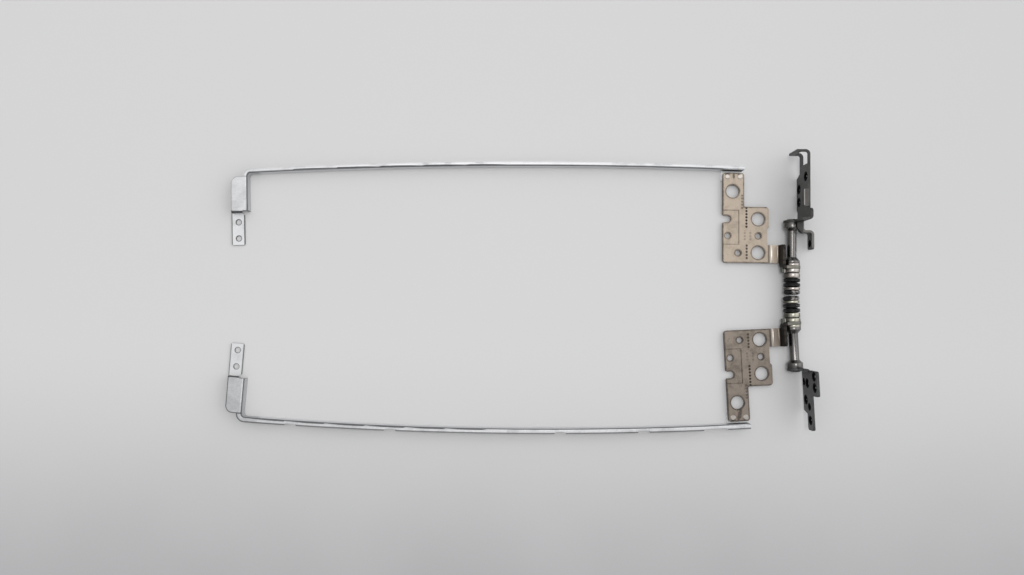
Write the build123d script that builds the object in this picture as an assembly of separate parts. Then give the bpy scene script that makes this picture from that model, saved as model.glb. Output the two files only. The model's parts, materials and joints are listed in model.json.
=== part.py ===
from build123d import *
import math
import os

# All sizes are in millimetres. Each hinge is drawn in its own frame: Y runs along the pivot from the
# nut outward, X points away from the display rail, and Z = 0 is the table the pair lies on.

# Sheet thicknesses
RAIL_SHEET = 0.6
LID_SHEET = 1.2
BASE_SHEET = 1.0

# Pivot and turned shaft
AXIS_Z = 3.6
ROD_R = 1.95
COLLAR_R = 3.3
STACK_R = 1.95
STACK_FLATS = 2.9
COLLAR_T = 1.1
COLLAR_CONE = 1.6
ROD_LENGTH = 11.2
HEAD_CONE = 1.3
HEAD_T = 2.2
PEEN_R = 2.2
PEEN_T = 0.5
RUN_CLEARANCE = 0.05
KEY_CLEARANCE = 0.05
THREAD_CLEARANCE = 0.02

# Friction stack, from the nut toward the collar
WASHER_R = 3.3
NUT_FLATS = 6.1
NUT_T = 2.0
NUT_EASE = 0.5
PRESSURE_T = 1.0
SPRING_COUNT = 4
SPRING_T = 0.6
SPRING_RISE = 0.45
SPRING_R = 3.4
CAM_T = 1.8
FRICTION_R = 3.0
FRICTION_T = 0.4
TANG_T = 1.6
TANG_REACH = 4.5
TANG_WIDTH = 2.0
TANG_HOOK = 0.6
THRUST_T = 1.0

# Stations along the pivot
PRESSURE_Y = NUT_T
SPRING_Y = PRESSURE_Y + PRESSURE_T
CAM_Y = SPRING_Y + SPRING_COUNT * (SPRING_T + SPRING_RISE)
FRICTION_Y = CAM_Y + CAM_T
TANG_Y = FRICTION_Y + FRICTION_T
EAR_Y = TANG_Y + TANG_T
THRUST_Y = EAR_Y + LID_SHEET
COLLAR_Y = THRUST_Y + THRUST_T
ROD_Y = COLLAR_Y + COLLAR_T + COLLAR_CONE
HEAD_Y = ROD_Y + ROD_LENGTH + HEAD_CONE
BASE_EAR_Y = HEAD_Y + HEAD_T
PEEN_Y = BASE_EAR_Y + BASE_SHEET

# Lid plate
PLATE_X0 = -28.9
PLATE_X1 = -9.1
PLATE_STEP = 0.8
PLATE_Y0 = 13.5
PLATE_STEP_Y = 28.9
PLATE_SHOULDER_Y = 37.6
PLATE_Y1 = 52.2
NECK_X1 = -19.7
PLATE_CORNER = 1.5
NECK_CORNER = 1.2
BOSS_HOLE_R = 2.8
BOSS_HOLES = ((-24.6, 44.3), (-13.6, 32.4), (-13.7, 17.9))
PIN_HOLE_R = 1.25
PIN_HOLES = ((-13.6, 25.2), (-22.3, 17.8), (-26.6, 25.2))
SLOT_Y = 32.4
SLOT_WIDTH = 3.0
SLOT_X1 = -25.4
SLOT_MOUTH = 0.7
RECESS_X1 = -21.8
RECESS_Y0 = 21.2
RECESS_Y1 = 36.3
RECESS_DEPTH = 0.18
RECESS_CORNER = 0.5
TONGUE_Y1 = 21.2
TONGUE_WALL_X = -4.3
TONGUE_BEND = 1.4
JOG_X = -8.7
JOG_RUN = 0.8
JOG_RISE = 0.4
JOG_BEND = 0.8
TONGUE_CORNER = 1.4
EAR_R = 3.5
EAR_BEND = 1.0
EAR_LOW_Z = 2.4

# Rivets that hold the rail under the plate, pressed nearly flush
RIVET_X = (-26.9, -21.5)
RIVET_Y = 50.7
RIVET_R = 0.8
RIVET_HEAD_R = 1.25
RIVET_HEAD_T = 0.2

# Display rail
RAIL_HEIGHT = 5.0
RAIL_BEND = 0.35
RAIL_END_X = -20.5
RAIL_END_Y = 53.0
RAIL_MID_X = -110.0
RAIL_TAB_X0 = -29.5
RAIL_TAB_WIDTH = 4.4
RAIL_CORNER_R = 1.5
RIGHT_FLANGE = 1.6
RIGHT_RAIL_MID_Y = 53.9
RIGHT_RAIL_FAR = (-231.3, 49.5)
RIGHT_CORNER_TURN = 88.6
RIGHT_NOTCHES = ((-47.4, 2.4, 0.45),)
LEFT_FLANGE = 2.1
LEFT_RAIL_MID_Y = 51.2
LEFT_RAIL_FAR = (-233.6, 40.75)
LEFT_CORNER_TURN = 89.8
LEFT_NOTCHES = (
    (-214.2, 5.2, 0.85), (-172.4, 5.2, 0.85), (-100.8, 5.2, 0.85), (-65.6, 5.2, 0.85), (-35.1, 10.6, 0.85),
)

# Foot at the far end of the rail
FOOT_TAB_WIDTH = 6.8
FOOT_TAB_LENGTH = 14.55
FOOT_TAB_CORNER = 3.0
STEP_X1 = -1.95
FOOT_X0 = -8.2
FOOT_NECK_X1 = -3.6
FOOT_X1 = -2.5
FOOT_LENGTH = 14.5
FOOT_CORNER = 0.8
FOOT_LAP = 2.0
FOOT_HOLE_R = 1.15
FOOT_HOLE_X = -5.15
FOOT_HOLE_PITCH = 7.0
FOOT_HOLE_END = 3.2

# Base brackets
BASE_WALL_X = 4.0
BASE_BEND = 1.4
BASE_CORNER = 1.1
BASE_RELIEF = 0.4
BASE_LAP = 1.0
SCREW_HOLE_R = 1.4
SMALL_HOLE_R = 1.0
BASE_EAR_R = 3.4

# Right base bracket, with stations counted from the ear on the shaft
RIGHT_WALL_START = 5.7
RIGHT_WALL_Y0 = BASE_EAR_Y + RIGHT_WALL_START
RIGHT_LOW_Z = 0.2
RIGHT_HOOK_REACH = 19.3
RIGHT_HOOK_Y = BASE_EAR_Y + RIGHT_HOOK_REACH
RIGHT_HOOK_Z = 3.5
RIGHT_TOP_Z = 13.0
RIGHT_LOBE_Z = 16.2
RIGHT_LOBE_CORNER = 1.8
RIGHT_LEAF_REACH = 29.3
RIGHT_LEAF_Y = BASE_EAR_Y + RIGHT_LEAF_REACH
RIGHT_LEAF_X0 = -1.0
WINDOW_Y0 = RIGHT_LEAF_Y - 5.2
WINDOW_Z0 = RIGHT_HOOK_Z + 1.7
WINDOW_Z1 = RIGHT_TOP_Z - 0.8
WINDOW_X0 = 0.8
TOP_TAB_START = 5.9
TOP_TAB_LENGTH = 7.3
TOP_TAB_Y0 = BASE_EAR_Y + TOP_TAB_START
TOP_TAB_Y1 = TOP_TAB_Y0 + TOP_TAB_LENGTH
TOP_TAB_X0 = 1.5
TOP_TAB_RELIEF = 0.8
TOP_TAB_CORNER = 0.8
LOW_HOLE_Z = RIGHT_LOW_Z + 2.4
RIGHT_HOLES = (
    (RIGHT_HOOK_Y - 0.4, RIGHT_TOP_Z - 2.6),
    (RIGHT_HOOK_Y - 4.7, LOW_HOLE_Z),
    (RIGHT_HOOK_Y - 10.3, LOW_HOLE_Z),
)
STRIP_Z0 = 1.0
STRIP_Z1 = 5.8
LEG_X = 8.3
LEG_OFFSET = 3.7
LEG_LENGTH = 7.6
LEG_Y1 = BASE_EAR_Y - LEG_OFFSET
LEG_Y0 = LEG_Y1 - LEG_LENGTH
LEG_HOLE = (LEG_Y0 + 2.6, (STRIP_Z0 + STRIP_Z1) / 2)

# Left base bracket, with stations counted from the ear on the shaft
LEFT_LOW_Z = 1.7
LEFT_NARROW_Z0 = 5.3
LEFT_NARROW_Z1 = 10.6
LEFT_STEP_REACH = 17.9
LEFT_STEP_Y = BASE_EAR_Y + LEFT_STEP_REACH
LEFT_END_REACH = 25.8
LEFT_END_Y = BASE_EAR_Y + LEFT_END_REACH
LEFT_TALL_START = 0.7
LEFT_TALL_LENGTH = 10.4
LEFT_TALL_Y0 = BASE_EAR_Y + LEFT_TALL_START
LEFT_TALL_Y1 = LEFT_TALL_Y0 + LEFT_TALL_LENGTH
LEFT_TALL_Z = 17.6
LEFT_EAR_Z = 9.2
LEFT_HOLES = (
    (BASE_EAR_Y + 6.2, LEFT_LOW_Z + 5.3), (LEFT_TALL_Y1 - 8.2, LEFT_TALL_Z - 3.0),
    (LEFT_TALL_Y1 - 3.6, LEFT_TALL_Z - 2.8), (LEFT_STEP_Y - 4.6, LEFT_LOW_Z + 2.8),
    (LEFT_END_Y - 4.2, LEFT_NARROW_Z1 - 2.4),
)
LEFT_SMALL_HOLES = ((LEFT_STEP_Y - 1.9, LEFT_NARROW_Z1 - 2.6), (BASE_EAR_Y + 5.9, LEFT_LOW_Z + 1.5))

# How the left hinge lies beside the right one
LEFT_TURN = 3.2
LEFT_SHIFT = (-0.35, -0.6)


def turned(*profile):
    """Revolve a closed (radius, station) profile about the pivot."""
    face = make_face(Polyline(*profile, close=True))
    return Pos(0, 0, AXIS_Z) * revolve(face, Axis.Y)


def disc(radius, y, thickness):
    """Round blank on the pivot."""
    end = y + thickness
    return turned((0, y), (radius, y), (radius, end), (0, end))


def flatted_bar(y, length, clearance=0.0):
    """Double-D bar of the shaft's stack end, grown by a clearance to cut its key holes."""
    bar = disc(STACK_R + clearance, y, length)
    flats = STACK_FLATS + 2 * clearance
    block = Pos(0, y + length / 2, AXIS_Z) * Box(4 * STACK_R, length, flats)
    return bar & block


def strip(path, thickness, plane, amount, direction):
    """Bent sheet strip: a centre line traced to sheet thickness and drawn out sideways."""
    return extrude(plane * trace(path, thickness), amount, dir=direction)


def drill_x(y, z, radius):
    """Cutter for a hole through a base bracket wall."""
    return Pos(BASE_WALL_X, y, z) * Rot(0, 90, 0) * Cylinder(radius, 4 * BASE_SHEET)


def round_corners(sketch, radius, *points):
    """Round the outline corners that stand nearest the given points."""
    corners = [sketch.vertices().sort_by_distance(Vector(*point))[0] for point in points]
    return fillet(corners, radius)


def shaft():
    """Turned shaft: flatted stack end, collar, rod, head and the peened tenon."""
    collar_end = COLLAR_Y + COLLAR_T
    rod_end = ROD_Y + ROD_LENGTH
    body = turned(
        (0, COLLAR_Y), (COLLAR_R, COLLAR_Y), (COLLAR_R, collar_end), (ROD_R, ROD_Y),
        (ROD_R, rod_end), (COLLAR_R, HEAD_Y), (COLLAR_R, BASE_EAR_Y), (ROD_R, BASE_EAR_Y),
        (ROD_R, PEEN_Y), (PEEN_R, PEEN_Y), (ROD_R, PEEN_Y + PEEN_T), (0, PEEN_Y + PEEN_T),
    )
    return body + flatted_bar(0, COLLAR_Y)


def thrust_washer():
    """Keyed washer between the shaft collar and the lid plate ear."""
    blank = disc(WASHER_R, THRUST_Y, THRUST_T)
    return blank - flatted_bar(THRUST_Y, THRUST_T, KEY_CLEARANCE)


def tang_washer():
    """Washer that the lid plate holds still: its tang lies in a slot beside the ear."""
    blank = disc(WASHER_R, TANG_Y, TANG_T)
    root = (STACK_R + WASHER_R) / 2
    tang = Box(TANG_REACH - root, TANG_T, TANG_WIDTH)
    tang = Pos(-(root + TANG_REACH) / 2, TANG_Y + TANG_T / 2, AXIS_Z) * tang
    hook_x = TANG_REACH - TANG_HOOK / 2
    hook = Pos(-hook_x, EAR_Y + TANG_HOOK / 2, AXIS_Z) * Box(TANG_HOOK, TANG_HOOK, TANG_WIDTH)
    return blank + tang + hook - disc(STACK_R + RUN_CLEARANCE, TANG_Y, TANG_T)


def friction_disc():
    """Thin keyed disc that rubs on the tang washer."""
    return disc(FRICTION_R, FRICTION_Y, FRICTION_T) - flatted_bar(FRICTION_Y, FRICTION_T, KEY_CLEARANCE)


def cam_washer():
    """Thick keyed washer that carries the spring load."""
    return disc(WASHER_R, CAM_Y, CAM_T) - flatted_bar(CAM_Y, CAM_T, KEY_CLEARANCE)


def disc_spring(index):
    """One coned spring washer; neighbours face opposite ways, so their rims meet in pairs."""
    start = SPRING_Y + index * (SPRING_T + SPRING_RISE)
    hole = STACK_R + KEY_CLEARANCE
    inner = start if index % 2 == 0 else start + SPRING_RISE
    outer = start + SPRING_RISE if index % 2 == 0 else start
    return turned((hole, inner), (SPRING_R, outer), (SPRING_R, outer + SPRING_T), (hole, inner + SPRING_T))


def pressure_washer():
    """Keyed washer between the springs and the nut."""
    blank = disc(WASHER_R, PRESSURE_Y, PRESSURE_T)
    return blank - flatted_bar(PRESSURE_Y, PRESSURE_T, KEY_CLEARANCE)


def lock_nut():
    """Six-sided nut with both faces turned down at the corners, screwed on the end of the shaft."""
    plane = Plane((0, 0, AXIS_Z), x_dir=(1, 0, 0), z_dir=(0, 1, 0))
    prism = extrude(plane * RegularPolygon(NUT_FLATS / 2, 6, major_radius=False), NUT_T)
    corner_r = NUT_FLATS / math.sqrt(3)
    face_r = corner_r - 2 * NUT_EASE
    lathe = turned(
        (0, 0), (face_r, 0), (corner_r, NUT_EASE), (corner_r, NUT_T - NUT_EASE), (face_r, NUT_T), (0, NUT_T),
    )
    return (prism & lathe) - disc(STACK_R + THREAD_CLEARANCE, 0, NUT_T)


def lid_plate():
    """Stamped lid plate: holed flat, tongue turned up beside the shaft, and the ear round it."""
    step_x = PLATE_X1 - PLATE_STEP
    blank = make_face(Polyline(
        (PLATE_X0, PLATE_Y0), (step_x, PLATE_Y0), (step_x, PLATE_STEP_Y - PLATE_STEP),
        (PLATE_X1, PLATE_STEP_Y), (PLATE_X1, PLATE_SHOULDER_Y), (NECK_X1, PLATE_SHOULDER_Y),
        (NECK_X1, PLATE_Y1), (PLATE_X0, PLATE_Y1), close=True,
    ))
    blank = round_corners(
        blank, PLATE_CORNER, (PLATE_X0, PLATE_Y0), (PLATE_X1, PLATE_SHOULDER_Y),
    )
    blank = round_corners(blank, NECK_CORNER, (PLATE_X0, PLATE_Y1), (NECK_X1, PLATE_Y1))
    blank = round_corners(blank, PLATE_CORNER / 2, (NECK_X1, PLATE_SHOULDER_Y))
    for x, y in BOSS_HOLES:
        blank -= Pos(x, y) * Circle(BOSS_HOLE_R)
    for x, y in PIN_HOLES:
        blank -= Pos(x, y) * Circle(PIN_HOLE_R)
    for x in RIVET_X:
        blank -= Pos(x, RIVET_Y) * Circle(RIVET_R)
    slot_mid = SLOT_X1 - SLOT_WIDTH / 2
    blank -= Pos(slot_mid, SLOT_Y) * Circle(SLOT_WIDTH / 2)
    blank -= Pos(PLATE_X0, SLOT_Y) * Rectangle(2 * (slot_mid - PLATE_X0), SLOT_WIDTH)
    half_slot = SLOT_WIDTH / 2
    blank = round_corners(blank, SLOT_MOUTH, (PLATE_X0, SLOT_Y - half_slot), (PLATE_X0, SLOT_Y + half_slot))
    plate = Pos(0, 0, RAIL_SHEET) * extrude(blank, LID_SHEET)

    recess = Rectangle(2 * (RECESS_X1 - PLATE_X0), RECESS_Y1 - RECESS_Y0)
    recess = fillet(recess.vertices(), RECESS_CORNER)
    recess_z = RAIL_SHEET + LID_SHEET - RECESS_DEPTH
    plate -= Pos(PLATE_X0, (RECESS_Y0 + RECESS_Y1) / 2, recess_z) * extrude(recess, LID_SHEET)
    return plate + tongue() + ear()


def tongue():
    """Part of the lid plate that leaves its edge, rises a little and turns up beside the shaft."""
    mid_z = RAIL_SHEET + LID_SHEET / 2
    high_z = mid_z + JOG_RISE
    top_z = AXIS_Z + EAR_R
    path = FilletPolyline(
        (PLATE_X1 - PLATE_STEP - LID_SHEET / 2, mid_z), (JOG_X, mid_z), (JOG_X + JOG_RUN, high_z),
        (TONGUE_WALL_X, high_z), (TONGUE_WALL_X, top_z),
        radius=(JOG_BEND, JOG_BEND, TONGUE_BEND),
    )
    width = TONGUE_Y1 - PLATE_Y0
    side = Plane((0, PLATE_Y0, 0), x_dir=(1, 0, 0), z_dir=(0, -1, 0))
    bent = strip(path, LID_SHEET, side, width, (0, 1, 0))
    corner = bent.edges().filter_by(Axis.X).group_by(Axis.Z)[-1].sort_by(Axis.Y)[-1]
    return fillet(corner, TONGUE_CORNER)


def ear():
    """Ear of the lid plate: turned square to the tongue, with the hole the shaft runs in."""
    mid_y = EAR_Y + LID_SHEET / 2
    path = FilletPolyline(
        (TONGUE_WALL_X, PLATE_Y0 + LID_SHEET), (TONGUE_WALL_X, mid_y), (0, mid_y), radius=EAR_BEND,
    )
    height = AXIS_Z + EAR_R - EAR_LOW_Z
    link = strip(path, LID_SHEET, Plane((0, 0, EAR_LOW_Z)), height, (0, 0, 1))
    eye = disc(EAR_R, EAR_Y, LID_SHEET)
    slot_x = TANG_REACH - TANG_HOOK / 2
    slot_width = TANG_HOOK + 2 * KEY_CLEARANCE
    slot_height = TANG_WIDTH + 2 * KEY_CLEARANCE
    slot = Pos(-slot_x, mid_y, AXIS_Z) * Box(slot_width, 2 * LID_SHEET, slot_height)
    return link + eye - slot - disc(STACK_R + RUN_CLEARANCE, EAR_Y, LID_SHEET)


def rail_rivets():
    """The two rivets through plate and rail tab, with low heads on the plate."""
    head_z = RAIL_SHEET + LID_SHEET
    rivets = []
    for x in RIVET_X:
        shank = Pos(x, RIVET_Y, head_z / 2) * Cylinder(RIVET_R, head_z)
        head = Pos(x, RIVET_Y, head_z + RIVET_HEAD_T / 2) * Cone(RIVET_HEAD_R, RIVET_R, RIVET_HEAD_T)
        rivets.append(shank + head)
    return rivets


def rail(mid_y, far, flange, notches, corner_turn):
    """Display rail: L section along a slightly bowed line, with the tab under the lid plate."""
    bow = ThreePointArc((RAIL_END_X, RAIL_END_Y), (RAIL_MID_X, mid_y), far)
    centre = bow.arc_center
    radius = bow.radius
    upright = Axis(centre, (0, 0, 1))
    mid = RAIL_SHEET / 2
    top = RAIL_HEIGHT - mid

    def angle_at(x):
        """Angle of the point of the bowed line that stands at x."""
        return math.degrees(math.acos((x - centre.X) / radius))

    def section_plane(angle):
        """Plane through the bow's centre, with its X along the radius and its Y upward."""
        out = Vector(1, 0, 0).rotate(Axis.Z, angle)
        return Plane(centre, x_dir=out, z_dir=out.cross(Vector(0, 0, 1)))

    corner = FilletPolyline(
        (radius + mid, 0), (radius + mid, top), (radius + flange, top), radius=RAIL_BEND,
    )
    start = angle_at(RAIL_END_X)
    sweep = angle_at(far[0]) - start
    bar = revolve(section_plane(start) * trace(corner, RAIL_SHEET), upright, sweep)

    crank = FilletPolyline(
        (radius - RAIL_TAB_WIDTH, mid), (radius + mid, mid), (radius + mid, top), radius=RAIL_BEND,
    )
    tab_sweep = angle_at(RAIL_TAB_X0) - start
    bar += revolve(section_plane(start) * trace(crank, RAIL_SHEET), upright, tab_sweep)

    for x, width, depth in notches:
        bite = Trapezoid(width + 2 * depth, 2 * depth, 45)
        place = Pos(centre.X, centre.Y) * Rot(0, 0, angle_at(x) - 90) * Pos(0, radius + flange)
        bar -= place * Rot(0, 0, 180) * extrude(bite, RAIL_HEIGHT)
    for x in RIVET_X:
        bar -= Pos(x, RIVET_Y, mid) * Cylinder(RIVET_R, RAIL_SHEET)

    end_angle = start + sweep
    far_point = section_plane(end_angle).from_local_coords(Vector(radius, 0, 0))
    return bar + Pos(far_point.X, far_point.Y) * Rot(0, 0, end_angle - 90) * rail_foot(flange, corner_turn)


def rail_foot(flange, corner_turn):
    """Square turn at the far end of the rail, its wide tab and the two-hole foot below it."""
    mid = RAIL_SHEET / 2
    top = RAIL_HEIGHT - mid
    corner = FilletPolyline(
        (RAIL_CORNER_R + mid, 0), (RAIL_CORNER_R + mid, top), (RAIL_CORNER_R + flange, top), radius=RAIL_BEND,
    )
    pivot = Plane((0, -RAIL_CORNER_R, 0), x_dir=(0, 1, 0), z_dir=(1, 0, 0))
    turn = revolve(pivot * trace(corner, RAIL_SHEET), Axis(pivot.origin, (0, 0, 1)), corner_turn)

    wide = FilletPolyline((-mid, 0), (-mid, top), (-FOOT_TAB_WIDTH, top), radius=RAIL_BEND)
    side = Plane((0, 0, 0), x_dir=(1, 0, 0), z_dir=(0, -1, 0))
    leg = strip(wide, RAIL_SHEET, side, FOOT_TAB_LENGTH, (0, -1, 0))
    tab_corner = leg.edges().filter_by(Axis.Z).sort_by_distance((-FOOT_TAB_WIDTH, 0, RAIL_HEIGHT))[0]
    leg = fillet(tab_corner, FOOT_TAB_CORNER)

    step_y = -FOOT_TAB_LENGTH - mid
    step = FilletPolyline(
        (step_y + FOOT_LAP, top), (step_y, top), (step_y, mid), (step_y - FOOT_LENGTH, mid), radius=RAIL_BEND,
    )
    flank = Plane((FOOT_X0, 0, 0), x_dir=(0, 1, 0), z_dir=(1, 0, 0))
    foot = strip(step, RAIL_SHEET, flank, -FOOT_X0, (1, 0, 0))
    skewed = make_face(Polyline(
        (FOOT_X0, 0), (FOOT_X1, 0), (FOOT_X1, RAIL_SHEET), (FOOT_NECK_X1, RAIL_SHEET),
        (STEP_X1, RAIL_HEIGHT), (-FOOT_TAB_WIDTH, RAIL_HEIGHT), (FOOT_X0, RAIL_SHEET), close=True,
    ))
    foot &= extrude(side * skewed, 2 * FOOT_TAB_LENGTH, both=True)
    neck = FOOT_X1 - FOOT_NECK_X1
    shoulder_y = step_y - mid
    foot -= extrude(make_face(Polyline(
        (FOOT_NECK_X1, shoulder_y + FOOT_LAP), (FOOT_X1, shoulder_y + FOOT_LAP), (FOOT_X1, shoulder_y - neck),
        (FOOT_NECK_X1, shoulder_y), close=True,
    )), RAIL_SHEET)
    ends = foot.edges().filter_by(Axis.Z).group_by(Axis.Y)[0]
    foot = fillet(ends, FOOT_CORNER)
    for offset in (FOOT_HOLE_END, FOOT_HOLE_END + FOOT_HOLE_PITCH):
        foot -= Pos(FOOT_HOLE_X, step_y - FOOT_LENGTH + offset, mid) * Cylinder(FOOT_HOLE_R, RAIL_SHEET)

    leg_place = Pos(0, -RAIL_CORNER_R) * Rot(0, 0, corner_turn - 90) * Pos(-RAIL_CORNER_R, 0)
    return turn + leg_place * (leg + foot)


def base_ear(bend_low, bend_high):
    """Ear of a base bracket: a disc on the shaft tenon, carried to the wall by a square bend."""
    mid_y = BASE_EAR_Y + BASE_SHEET / 2
    path = FilletPolyline(
        (0, mid_y), (BASE_WALL_X, mid_y), (BASE_WALL_X, mid_y + BASE_BEND + BASE_LAP), radius=BASE_BEND,
    )
    bend = strip(path, BASE_SHEET, Plane((0, 0, bend_low)), bend_high - bend_low, (0, 0, 1))
    slope = math.degrees(math.atan2(bend_high - AXIS_Z - BASE_EAR_R, BASE_WALL_X))
    above = Pos(0, mid_y, AXIS_Z) * Rot(0, -slope, 0) * Pos(0, 0, BASE_EAR_R + bend_high / 2)
    bend -= above * Box(2 * BASE_WALL_X, 2 * BASE_SHEET, bend_high)
    return bend + disc(BASE_EAR_R, BASE_EAR_Y, BASE_SHEET) - disc(ROD_R, BASE_EAR_Y, BASE_SHEET)


def right_base_bracket():
    """Right base bracket: upright wall, windowed leaf, top tab, shaft ear and the cranked side leg."""
    face_x = BASE_WALL_X - BASE_SHEET / 2
    side = Plane((face_x, 0, 0), x_dir=(0, 1, 0), z_dir=(1, 0, 0))
    bend_y = BASE_EAR_Y + BASE_SHEET / 2 + BASE_BEND
    leaf_bend_y = RIGHT_LEAF_Y - BASE_BEND
    step = STRIP_Z0 - RIGHT_LOW_Z
    rise = RIGHT_HOOK_Z - RIGHT_LOW_Z
    lobe_y = TOP_TAB_Y0 - TOP_TAB_RELIEF
    outline = make_face(Polyline(
        (bend_y, STRIP_Z0), (RIGHT_WALL_Y0 - step, STRIP_Z0), (RIGHT_WALL_Y0, RIGHT_LOW_Z),
        (RIGHT_HOOK_Y, RIGHT_LOW_Z), (RIGHT_HOOK_Y + rise / 2, RIGHT_HOOK_Z), (leaf_bend_y, RIGHT_HOOK_Z),
        (leaf_bend_y, RIGHT_TOP_Z), (lobe_y, RIGHT_TOP_Z), (lobe_y, RIGHT_LOBE_Z),
        (bend_y, RIGHT_LOBE_Z), close=True,
    ))
    outline = round_corners(outline, RIGHT_LOBE_CORNER, (lobe_y, RIGHT_LOBE_Z))
    wall = extrude(side * outline, BASE_SHEET)

    leaf_path = FilletPolyline(
        (RIGHT_LEAF_X0, RIGHT_LEAF_Y), (BASE_WALL_X, RIGHT_LEAF_Y), (BASE_WALL_X, leaf_bend_y - BASE_LAP),
        radius=BASE_BEND,
    )
    leaf_height = RIGHT_TOP_Z - RIGHT_HOOK_Z
    leaf = strip(leaf_path, BASE_SHEET, Plane((0, 0, RIGHT_HOOK_Z)), leaf_height, (0, 0, 1))
    wall += leaf
    window_x = (WINDOW_X0 + BASE_WALL_X + BASE_SHEET) / 2
    window = Box(BASE_WALL_X + BASE_SHEET - WINDOW_X0, 2 * (RIGHT_LEAF_Y - WINDOW_Y0), WINDOW_Z1 - WINDOW_Z0)
    wall -= Pos(window_x, RIGHT_LEAF_Y, (WINDOW_Z0 + WINDOW_Z1) / 2) * window

    mid_z = RIGHT_TOP_Z + BASE_SHEET / 2
    tab_path = FilletPolyline(
        (TOP_TAB_X0, mid_z), (BASE_WALL_X, mid_z), (BASE_WALL_X, RIGHT_TOP_Z - BASE_SHEET - BASE_LAP),
        radius=BASE_SHEET,
    )
    tab_plane = Plane((0, TOP_TAB_Y0, 0), x_dir=(1, 0, 0), z_dir=(0, -1, 0))
    tab = strip(tab_path, BASE_SHEET, tab_plane, TOP_TAB_Y1 - TOP_TAB_Y0, (0, 1, 0))
    free = tab.edges().filter_by(Axis.Z).group_by(Axis.X)[0]
    wall += fillet(free, TOP_TAB_CORNER)

    strip_path = FilletPolyline(
        (BASE_WALL_X, bend_y + BASE_LAP), (BASE_WALL_X, LEG_Y1), (LEG_X, LEG_Y1), (LEG_X, LEG_Y0),
        radius=BASE_BEND,
    )
    crank = strip(strip_path, BASE_SHEET, Plane((0, 0, STRIP_Z0)), STRIP_Z1 - STRIP_Z0, (0, 0, 1))
    leg_end = crank.edges().filter_by(Axis.X).group_by(Axis.Y)[0]
    crank = fillet(leg_end, BASE_CORNER)
    crank -= Pos(LEG_X, *LEG_HOLE) * Rot(0, 90, 0) * Cylinder(SMALL_HOLE_R, 4 * BASE_SHEET)

    bracket = wall + crank + base_ear(STRIP_Z1 + BASE_RELIEF, RIGHT_LOBE_Z)
    for y, z in RIGHT_HOLES:
        bracket -= drill_x(y, z, SCREW_HOLE_R)
    return bracket


def left_base_bracket():
    """Left base bracket: tall wall beside the shaft ear, narrowing to a raised end."""
    face_x = BASE_WALL_X - BASE_SHEET / 2
    side = Plane((face_x, 0, 0), x_dir=(0, 1, 0), z_dir=(1, 0, 0))
    bend_y = BASE_EAR_Y + BASE_SHEET / 2 + BASE_BEND
    rise = LEFT_NARROW_Z0 - LEFT_LOW_Z
    outline = make_face(Polyline(
        (bend_y, LEFT_LOW_Z), (LEFT_STEP_Y, LEFT_LOW_Z), (LEFT_STEP_Y + rise / 3, LEFT_NARROW_Z0),
        (LEFT_END_Y, LEFT_NARROW_Z0), (LEFT_END_Y, LEFT_NARROW_Z1), (LEFT_TALL_Y1, LEFT_NARROW_Z1),
        (LEFT_TALL_Y1, LEFT_TALL_Z), (LEFT_TALL_Y0, LEFT_TALL_Z),
        (LEFT_TALL_Y0, LEFT_EAR_Z + BASE_RELIEF), (bend_y, LEFT_EAR_Z + BASE_RELIEF), close=True,
    ))
    outline = round_corners(
        outline, BASE_CORNER, (LEFT_END_Y, LEFT_NARROW_Z0), (LEFT_END_Y, LEFT_NARROW_Z1),
        (LEFT_TALL_Y1, LEFT_TALL_Z), (LEFT_TALL_Y0, LEFT_TALL_Z),
    )
    bracket = extrude(side * outline, BASE_SHEET) + base_ear(LEFT_LOW_Z, LEFT_EAR_Z)
    for y, z in LEFT_HOLES:
        bracket -= drill_x(y, z, SCREW_HOLE_R)
    for y, z in LEFT_SMALL_HOLES:
        bracket -= drill_x(y, z, SMALL_HOLE_R)
    return bracket


def hinge_parts(rail_solid, bracket):
    """All pieces of one hinge by name, in the hinge's own frame."""
    parts = {
        "rail": [rail_solid],
        "lid_plate": [lid_plate()],
        "rail_rivets": rail_rivets(),
        "shaft": [shaft()],
        "thrust_washer": [thrust_washer()],
        "tang_washer": [tang_washer()],
        "friction_disc": [friction_disc()],
        "cam_washer": [cam_washer()],
        "pressure_washer": [pressure_washer()],
        "lock_nut": [lock_nut()],
        "base_bracket": [bracket],
    }
    for index in range(SPRING_COUNT):
        parts[f"disc_spring_{index + 1}"] = [disc_spring(index)]
    return parts


def build_pair():
    """Solids of every node of both hinges, laid out with the origin under the middle of the pair."""
    right_rail = rail(RIGHT_RAIL_MID_Y, RIGHT_RAIL_FAR, RIGHT_FLANGE, RIGHT_NOTCHES, RIGHT_CORNER_TURN)
    left_rail = rail(LEFT_RAIL_MID_Y, LEFT_RAIL_FAR, LEFT_FLANGE, LEFT_NOTCHES, LEFT_CORNER_TURN)
    right = hinge_parts(right_rail, right_base_bracket())
    left = hinge_parts(left_rail, left_base_bracket())
    beside = Pos(*LEFT_SHIFT) * Rot(0, 0, LEFT_TURN)
    nodes = {}
    for name, pieces in right.items():
        nodes["right_" + name] = [piece.solid() for piece in pieces]
    for name, pieces in left.items():
        nodes["left_" + name] = [beside * mirror(piece.solid(), about=Plane.XZ) for piece in pieces]
    box = Compound([solid for solids in nodes.values() for solid in solids]).bounding_box()
    shift = Pos(-box.center().X, -box.center().Y, -box.min.Z)
    return {name: [shift * solid for solid in solids] for name, solids in nodes.items()}


os.makedirs("parts", exist_ok=True)
for node_name, node_solids in build_pair().items():
    export_step(Compound(node_solids), f"parts/{node_name}.step")
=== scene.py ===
"""Finishes, eased edges and studio stage for a pair of laptop lid hinges."""
import json
import math

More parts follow.
